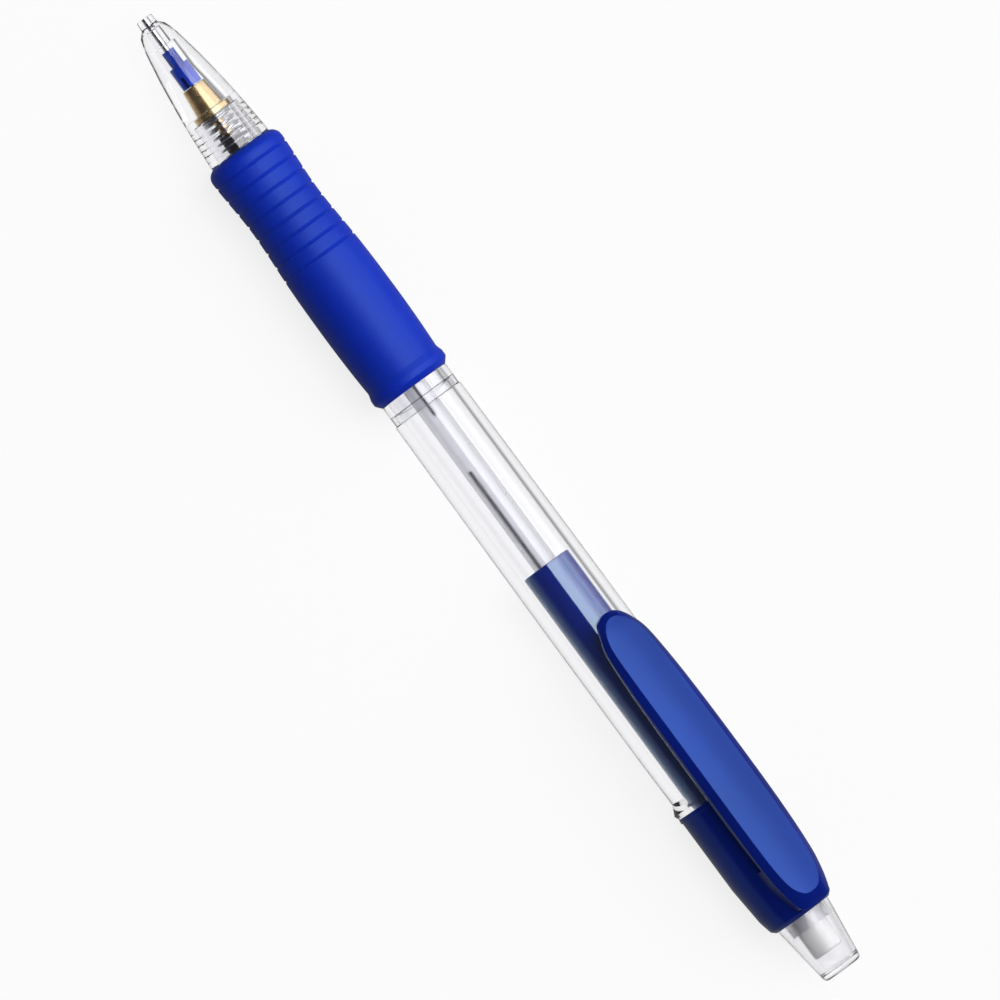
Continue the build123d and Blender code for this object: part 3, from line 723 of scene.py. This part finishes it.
class PENCIL_OT_grip(Operator):
    """Waisted rubber grip with fine grooves and a rolled rear flange"""

    bl_idname = "pencil.grip"
    bl_label = "Rubber grip"

    def execute(self, context):
        sizes = context.scene.pencil_sizes
        start, end = front("rubber_grip"), back("rubber_grip")
        flange = end - 2.4
        skin = flowing([
            (start + 1.6, 5.22, -0.02), (start + 9.2, 4.86, 0.0), (start + 17.8, 5.26, 0.035),
            (start + 24.7, 5.36, 0.0), (flange, 5.12, -0.06),
        ], 0.05)
        nose = [
            (start + 1.5 - 1.4 * math.sin(a), 5.22 - 1.4 * (1 - math.cos(a)))
            for a in (1.2, 1.0, 0.8, 0.6, 0.4, 0.2)
        ]
        width, depth = sizes.groove_width / MM, sizes.groove_depth / MM
        pitch = sizes.groove_pitch / MM
        skirt = []
        last = start
        for station, radius in skin[:-1]:
            cut = 0.0
            for n in range(sizes.groove_count):
                off = abs(station - (start + 2.4 + n * pitch))
                if off < width / 2:
                    cut = depth * (0.5 + 0.5 * math.cos(2 * PI * off / width))
            near = station - start < 2.4 + sizes.groove_count * pitch
            if cut > 0 or station - last > (0.25 if near else 0.5):
                skirt.append((station, radius - cut))
                last = station
        outline = rounded([(start + 0.1, 4.22), (start + 0.15, 4.3)] + nose + skirt + [
            (flange, 5.12, 0.3), (flange + 0.9, 5.38, 0.3), (end - 0.75, 5.38, 0.4),
            (end, 4.76, 0.15), (end, 4.22),
        ])
        piece = turned("grip_sleeve", outline, finish("grip"), sizes.segments)
        finished(piece, "barrel", "rubber_blue", "rubber_grip")
        return {"FINISHED"}


class PENCIL_OT_lead_store(Operator):
    """Lead tube, tail tube, writing lead and spare lead"""

    bl_idname = "pencil.lead_store"
    bl_label = "Lead store"

    def execute(self, context):
        start, end = front("lead_tube"), back("lead_tube")
        tube = turned("lead_tube_shell", rounded([
            (start, TUBE_BORE), (start, TUBE_RADIUS, 0.08), (end, TUBE_RADIUS, 0.08),
            (end, TUBE_BORE),
        ]), finish("frosted"), 96)
        finished(tube, "push_rod", "frosted_plastic", "lead_tube")

        start, end = front("tail_tube"), back("tail_tube")
        store = start + 7.2
        tail = turned("tail_tube_moulding", rounded([
            (start, 1.62, 0.1), (start, 3.3, 0.18), (end - 3.6, 3.3, 0.1), (end - 3.6, 2.9),
            (end, 2.9, 0.08), (end, 2.4), (store, 2.4), (store - 1.2, TUBE_BORE), (start + 4, TUBE_BORE),
            (start + 4, 1.62),
        ]), finish("tail"), 128)
        finished(tail, "push_rod", "blue_plastic", "tail_tube")

        for name, source, body, offset in (
            ("writing_lead_rod", "writing_lead", "lead", (0.0, 0.0)),
            ("spare_lead_rod", "spare_lead", "push_rod", (-0.66, -0.5)),
        ):
            start, end = front(source), back(source)
            rod = turned(name, rounded([
                (start, 0.0), (start, LEAD_RADIUS, 0.05), (end, LEAD_RADIUS, 0.02), (end, 0.0),
            ]), finish("graphite"), 32, centre=offset)
            finished(rod, body, "graphite", source)
        return {"FINISHED"}


def along(knots, x):
    """Value at x on a smooth line through (x, value) knots."""
    last = len(knots) - 1
    i = min(sum(1 for knot in knots[1:-1] if knot[0] < x), last - 1)

    def slope(k):
        low, high = knots[max(k - 1, 0)], knots[min(k + 1, last)]
        return (high[1] - low[1]) / (high[0] - low[0])

    (x0, y0), (x1, y1) = knots[i], knots[i + 1]
    span = x1 - x0
    t = min(max((x - x0) / span, 0.0), 1.0)
    return (
        (2 * t**3 - 3 * t**2 + 1) * y0 + (t**3 - 2 * t**2 + t) * span * slope(i)
        + (3 * t**2 - 2 * t**3) * y1 + (t**3 - t**2) * span * slope(i + 1)
    )


# the clip by distance behind its tip: half widths of its outline and of its flat face, and the
# heights over the axis of the outline's edge and of the face
CLIP_HALF = [
    (0.0, 0.0), (0.1, 0.7), (0.4, 1.3), (1.0, 1.9), (2.1, 2.5), (4.1, 3.15), (8.1, 3.48),
    (13.0, 3.64), (20.0, 3.7), (31.0, 3.7), (38.1, 3.45), (40.6, 3.08), (42.1, 2.72),
    (43.1, 2.36), (43.5, 2.05), (43.7, 1.5), (43.75, 0.9),
]
FACE_HALF = [
    (0.8, 0.0), (0.9, 0.6), (1.3, 1.2), (2.2, 1.9), (4.1, 2.5), (8.1, 2.73), (14.0, 2.8),
    (24.0, 2.82), (32.0, 2.78), (37.1, 2.62), (39.4, 2.36), (40.6, 2.02), (41.4, 1.55),
    (41.95, 1.0), (42.15, 0.4),
]
EDGE_HEIGHT = [(0.0, 6.25), (4.0, 6.6), (12.0, 6.9), (22.0, 7.05), (34.0, 6.8), (43.75, 6.15)]
FACE_HEIGHT = [(0.8, 6.85), (3.0, 7.25), (8.0, 7.6), (22.0, 7.85), (34.0, 7.7), (42.15, 7.35)]


class PENCIL_OT_clip_cap(Operator):
    """Blue cap sleeve moulded in one with the pocket clip"""

    bl_idname = "pencil.clip_cap"
    bl_label = "Clip cap"

    def execute(self, context):
        sizes = context.scene.pencil_sizes
        end = back("clip_cap")
        tip = end - CLIP_LENGTH
        start = back("rear_barrel") - CAP_OVERLAP
        under, root = CLIP_UNDERSIDE, end - CLIP_ROOT
        rear = end - 0.25
        sleeve = turned("cap_moulding", rounded([
            (start, 4.42, 0.1), (start, 5.42, 0.12), (start + 0.6, 5.42, 0.12),
            (start + 0.66, 5.28, 0.05), (root, 5.26, 4.0), (end - 2.2, 4.88, 3.0),
            (end - 0.5, 4.5, 0.4), (end, 3.95, 0.2), (end, CAP_BORE, 0.05),
            (start + CAP_OVERLAP, CAP_BORE), (start + CAP_OVERLAP, 4.42),
        ]), finish("clip"), 128)
        arm = self.arm(tip, rear, under, root, sizes)
        union = sleeve.modifiers.new("Clip", "BOOLEAN")
        union.operation = "UNION"
        union.solver = "EXACT"
        union.use_self = True
        union.object = arm
        settle(sleeve)
        bpy.data.objects.remove(arm)
        work = bmesh.new()
        work.from_mesh(sleeve.data)
        bmesh.ops.remove_doubles(work, verts=work.verts, dist=1e-6)
        work.to_mesh(sleeve.data)
        work.free()
        sleeve.data.materials.clear()
        sleeve.data.materials.append(finish("clip"))
        smooth(sleeve.data, 30)
        finished(sleeve, "barrel", "blue_plastic", "clip_cap")
        return {"FINISHED"}

    def arm(self, tip, rear, under, root, sizes):
        """Clip arm as rings of its boat-shaped outline, with a bevelled and crowned face."""
        count = 64
        shares = [0.5 - 0.5 * math.cos(PI * i / count) for i in range(count + 1)]
        stations = [share * CLIP_HALF[-1][0] for share in shares]
        face_start, face_end = FACE_HALF[0][0], FACE_HALF[-1][0]
        face_stations = [face_start + share * (face_end - face_start) for share in shares]

        def contour(points):
            """Loop from (station, half width) points, near side first."""
            return list(points) + [(x, -w) for x, w in reversed(points[1:])]

        loop = contour([(x, along(CLIP_HALF, x)) for x in stations])
        inner = contour([(x, along(FACE_HALF, x)) for x in face_stations])
        total = len(loop)

        def inset(amount):
            """The outline drawn in by an amount, square to itself."""
            out = []
            for i, (x, y) in enumerate(loop):
                ax, ay = loop[i - 1]
                bx, by = loop[(i + 1) % total]
                dx, dy = bx - ax, by - ay
                size = math.hypot(dx, dy)
                out.append((x + dy / size * amount, y - dx / size * amount))
            return out

        work = bmesh.new()

        def ring(points, height):
            return [work.verts.new(place(tip + x, y, height(x, y))) for x, y in points]

        def crowned(x, y):
            return along(FACE_HEIGHT, x) - FACE_CROWN * y * y

        rings = [
            ring(inset(0.25), lambda x, y: under),
            ring(loop, lambda x, y: under + 0.2),
            ring(loop, lambda x, y: along(EDGE_HEIGHT, x)),
            ring(inner, crowned),
        ]
        for low_ring, high_ring in zip(rings, rings[1:]):
            for i in range(total):
                n = (i + 1) % total
                if i == count and high_ring is rings[-1]:
                    continue
                work.faces.new((low_ring[i], low_ring[n], high_ring[n], high_ring[i]))
        # the flat underside, and the face in strips so that it can bulge across
        for edge_ring, strips in ((rings[0], 1), (rings[-1], FACE_STRIPS)):
            rows = []
            for i in range(count + 1):
                left, right = edge_ring[i], edge_ring[(total - i) % total]
                if left is right:
                    rows.append([left] * (strips + 1))
                    continue
                row = [left]
                for k in range(1, strips):
                    spot = left.co.lerp(right.co, k / strips)
                    x, y = (spot.x - NOSE_TIP) / MM - tip, spot.y / MM
                    row.append(work.verts.new(place(tip + x, y, crowned(x, y))))
                rows.append(row + [right])
            for one, two in zip(rows, rows[1:]):
                for k in range(strips):
                    corners = []
                    for corner in (one[k], one[k + 1], two[k + 1], two[k]):
                        if corner not in corners:
                            corners.append(corner)
                    work.faces.new(corners)
        work.faces.new([rings[-2][count + 1], rings[-2][count]] + rows[-1])
        bmesh.ops.recalc_face_normals(work, faces=work.faces)
        # block that joins the clip to the sleeve, and the bar under the tip
        self.block(work, tip, root, rear, under)
        self.bar(work, tip)
        mesh = bpy.data.meshes.new("clip_arm")
        work.to_mesh(mesh)
        work.free()
        arm = new_piece("clip_arm", mesh, finish("clip"))
        bevel = arm.modifiers.new("Edges", "BEVEL")
        bevel.width = sizes.clip_edge
        bevel.segments = 2
        bevel.limit_method = "ANGLE"
        bevel.angle_limit = math.radians(24)
        settle(arm)
        return arm

    def block(self, work, tip, root, rear, under):
        """Root of the clip, from its underside down into the sleeve."""
        stations = [root + (rear - root) * i / 12 for i in range(13)]
        left = [(x, along(CLIP_HALF, x - tip) - 0.12) for x in stations]
        outline = left + [(x, -w) for x, w in reversed(left)]
        low_ring = [work.verts.new(place(x, y, 3.4)) for x, y in outline]
        high_ring = [work.verts.new(place(x, y, under + 0.3)) for x, y in outline]
        total = len(outline)
        made = []
        for i in range(total):
            n = (i + 1) % total
            made.append(work.faces.new((low_ring[i], low_ring[n], high_ring[n], high_ring[i])))
        made.append(work.faces.new(low_ring))
        made.append(work.faces.new(high_ring))
        bmesh.ops.recalc_face_normals(work, faces=made)

    def bar(self, work, tip):
        """Rounded bar under the tip that bears on a pocket's edge."""
        rings = []
        for side in (-1, 1):
            for inset_by, shrink in ((0.0, 0.7), (0.25, 1.0)):
                y = side * (BAR_HALF - inset_by)
                rings.append((y, shrink))
        rings = sorted(rings)
        loops = []
        for y, shrink in rings:
            loops.append([
                work.verts.new(place(
                    tip + BAR_STATION + BAR_RADIUS * shrink * math.cos(2 * PI * k / 32), y,
                    BAR_HEIGHT + BAR_RADIUS * shrink * math.sin(2 * PI * k / 32),
                ))
                for k in range(32)
            ])
        made = [work.faces.new(loops[0]), work.faces.new(loops[-1])]
        for low_ring, high_ring in zip(loops, loops[1:]):
            for k in range(32):
                n = (k + 1) % 32
                made.append(work.faces.new(
                    (low_ring[k], low_ring[n], high_ring[n], high_ring[k])
                ))
        bmesh.ops.recalc_face_normals(work, faces=made)


class PENCIL_OT_eraser(Operator):
    """Eraser, its slotted holder and the clear cap that is also the push button"""

    bl_idname = "pencil.eraser"
    bl_label = "Eraser and cap"

    def execute(self, context):
        start, end = front("eraser_cap"), back("eraser_cap")
        lip = back("eraser_holder")
        shoulder = end - 8.1
        hollow = end - 0.8
        cap = turned("eraser_cap_shell", rounded([
            (start, 2.98, 0.05), (start, 3.7, 0.15), (shoulder, 3.7, 0.3), (end, 2.65, 0.6),
            (end, 0.0), (hollow, 0.0), (hollow, 2.24, 0.6), (lip + 0.1, 2.97, 0.1),
            (lip + 0.1, 2.98, 0.02),
        ]), finish("cap"), 128)
        finished(cap, "button", "clear_plastic", "eraser_cap")
        finished(refined("holder_ring", "eraser_holder", finish("frosted")),
                 "push_rod", "frosted_plastic", "eraser_holder")
        start, end = front("eraser"), back("eraser")
        plug = turned("eraser_plug", rounded([
            (start, 0.0), (start, 2.05, 0.1), (end, 2.05, 0.35), (end, 0.0),
        ]), finish("eraser"), 96)
        finished(plug, "eraser", "eraser_white", "eraser")
        return {"FINISHED"}


class PENCIL_OT_stage(Operator):
    """Pale floor, soft overhead light and the camera"""

    bl_idname = "pencil.stage"
    bl_label = "Stage"

    def execute(self, context):
        stage = context.scene.pencil_stage
        scene = context.scene
        scene.view_settings.view_transform = "Standard"

        mesh = bpy.data.meshes.new("floor")
        reach = 2.5
        mesh.from_pydata(
            [(-reach, -reach, -2e-5), (reach, -reach, -2e-5), (reach, reach, -2e-5),
             (-reach, reach, -2e-5)], [], [(0, 1, 2, 3)],
        )
        floor = new_piece("floor", mesh, self.floor_material())

        world = bpy.data.worlds.new("room")
        scene.world = world
        world.use_nodes = True
        tree = world.node_tree
        tree.nodes.clear()
        output = node(tree, "ShaderNodeOutputWorld")
        dim = node(tree, "ShaderNodeBackground", {
            "Color": (0.9, 0.93, 1.0, 1), "Strength": stage.room,
        })
        white = node(tree, "ShaderNodeBackground", {"Color": (1, 1, 1, 1), "Strength": 1.0})
        light = node(tree, "ShaderNodeLightPath")
        mix = node(tree, "ShaderNodeMixShader")
        join(tree, light, "Is Camera Ray", mix, 0)
        join(tree, dim, 0, mix, 1)
        join(tree, white, 0, mix, 2)
        join(tree, mix, 0, output, "Surface")

        # a long soft light from over the near edge to low behind, brighter over the top
        self.lamp(scene, "soft_light", 114, 44, 0.9, 0.8, stage.soft_light)
        self.lamp(scene, "top_light", 91, 20, 0.8, 0.8, stage.top_light)

        # the pencil lies across the view, its nose towards the upper left
        elevation, roll = math.radians(ELEVATION), math.radians(ROLL)
        look = Vector((0, math.cos(elevation), -math.sin(elevation)))
        level = Vector((1, 0, 0))
        upright = Vector((0, math.sin(elevation), math.cos(elevation)))
        right = level * math.cos(roll) + upright * math.sin(roll)
        up = upright * math.cos(roll) - level * math.sin(roll)
        lens = bpy.data.cameras.new("camera")
        lens.lens = LENS
        lens.sensor_width = SENSOR
        camera = bpy.data.objects.new("camera", lens)
        scene.collection.objects.link(camera)
        centre = place(CENTRE_STATION) + upright * CENTRE_LIFT
        away = VIEW_WIDTH * lens.lens / lens.sensor_width
        turn = Matrix((right, up, -look)).transposed().to_4x4()
        camera.matrix_world = Matrix.Translation(centre - look * away) @ turn
        lens.clip_start, lens.clip_end = 0.01, 20.0
        scene.camera = camera
        return {"FINISHED"}

    def floor_material(self):
        """White to the camera with a faint shadow, and a painted bright strip seen through clear parts
        only nearby.
        """
        material, tree, output, where = begin("floor_white")
        light = node(tree, "ShaderNodeLightPath")
        tone = node(tree, "ShaderNodeMapRange", {"To Min": 0.16, "To Max": 0.8})
        join(tree, light, "Is Camera Ray", tone, "Value")
        matte = node(tree, "ShaderNodeBsdfDiffuse")
        join(tree, tone, "Result", matte, "Color")
        glow = node(tree, "ShaderNodeEmission", {"Color": (1, 1, 1, 1), "Strength": FLOOR_GLOW})
        # painted bright strip: the glow seen through clear parts is strong near the pencil, a little to
        # the far side, and weak farther off
        split = node(tree, "ShaderNodeSeparateXYZ")
        shift = node(tree, "ShaderNodeMath", {1: BRIGHT_OFFSET}, operation="SUBTRACT")
        side = node(tree, "ShaderNodeMath", operation="ABSOLUTE")
        near = node(tree, "ShaderNodeMapRange", {
            "From Min": NEAR_REACH, "From Max": FAR_REACH,
            "To Min": NEAR_SHARE, "To Max": FAR_SHARE,
        }, interpolation_type="SMOOTHSTEP")
        join(tree, where, "Object", split, "Vector")
        join(tree, split, "Y", shift, 0)
        join(tree, shift, 0, side, 0)
        join(tree, side, 0, near, "Value")
        through = node(tree, "ShaderNodeMath", operation="MULTIPLY")
        join(tree, light, "Is Transmission Ray", through, 0)
        join(tree, near, "Result", through, 1)
        seen = node(tree, "ShaderNodeMath", {1: CAMERA_SHARE}, operation="MULTIPLY")
        join(tree, light, "Is Camera Ray", seen, 0)
        mirrored = node(tree, "ShaderNodeMath", {1: GLOSSY_SHARE}, operation="MULTIPLY")
        join(tree, light, "Is Glossy Ray", mirrored, 0)
        first = node(tree, "ShaderNodeMath", operation="MAXIMUM")
        join(tree, through, 0, first, 0)
        join(tree, mirrored, 0, first, 1)
        share = node(tree, "ShaderNodeMath", operation="MAXIMUM")
        join(tree, first, 0, share, 0)
        join(tree, seen, 0, share, 1)
        mix = node(tree, "ShaderNodeMixShader")
        join(tree, share, 0, mix, 0)
        join(tree, matte, 0, mix, 1)
        join(tree, glow, 0, mix, 2)
        join(tree, mix, 0, output, "Surface")
        return material

    def lamp(self, scene, name, middle, half_angle, distance, width, radiance):
        """Rectangular lamp facing the pencil's axis, at an angle from the near side's level."""
        middle, half_angle = math.radians(middle), math.radians(half_angle)
        aim = Vector((0, -math.cos(middle), math.sin(middle)))
        lamp = bpy.data.lights.new(name, "AREA")
        lamp.shape = "RECTANGLE"
        lamp.size = width
        lamp.size_y = 2 * distance * math.tan(half_angle)
        lamp.energy = radiance * lamp.size * lamp.size_y * PI
        box = bpy.data.objects.new(name, lamp)
        scene.collection.objects.link(box)
        box.location = Vector((0, 0, AXIS_HEIGHT)) + aim * distance
        box.rotation_mode = "QUATERNION"
        box.rotation_quaternion = aim.to_track_quat("Z", "Y")
        box.visible_camera = False


OPERATORS = (
    PENCIL_OT_nose, PENCIL_OT_tip, PENCIL_OT_clutch, PENCIL_OT_spring, PENCIL_OT_barrels,
    PENCIL_OT_grip, PENCIL_OT_lead_store, PENCIL_OT_clip_cap, PENCIL_OT_eraser,
    PENCIL_OT_stage,
)
SETTINGS = (PencilSizes, PencilColours, PencilStage)


class PENCIL_PT_pieces(Panel):
    """Lists the pencil's pieces and settings"""

    bl_idname = "PENCIL_PT_pieces"
    bl_label = "Clip pencil"
    bl_space_type = "VIEW_3D"
    bl_region_type = "UI"
    bl_category = "Pencil"

    def draw(self, context):
        layout = self.layout
        for operator in OPERATORS:
            layout.operator(operator.bl_idname)
        for group in ("pencil_sizes", "pencil_colours", "pencil_stage"):
            values = getattr(context.scene, group)
            for key in values.bl_rna.properties.keys():
                if key not in ("name", "rna_type"):
                    layout.prop(values, key)


def register():
    """Register the settings, operators and panel."""
    for item in SETTINGS + OPERATORS + (PENCIL_PT_pieces,):
        bpy.utils.register_class(item)
    bpy.types.Scene.pencil_sizes = PointerProperty(type=PencilSizes)
    bpy.types.Scene.pencil_colours = PointerProperty(type=PencilColours)
    bpy.types.Scene.pencil_stage = PointerProperty(type=PencilStage)


def unregister():
    """Take them away again."""
    del bpy.types.Scene.pencil_sizes
    del bpy.types.Scene.pencil_colours
    del bpy.types.Scene.pencil_stage
    for item in reversed(SETTINGS + OPERATORS + (PENCIL_PT_pieces,)):
        bpy.utils.unregister_class(item)


def main():
    """Build every piece and the stage."""
    register()
    for operator in OPERATORS:
        getattr(bpy.ops.pencil, operator.bl_idname.split(".")[1])()
    bpy.context.view_layer.update()


if __name__ == "__main__":
    main()
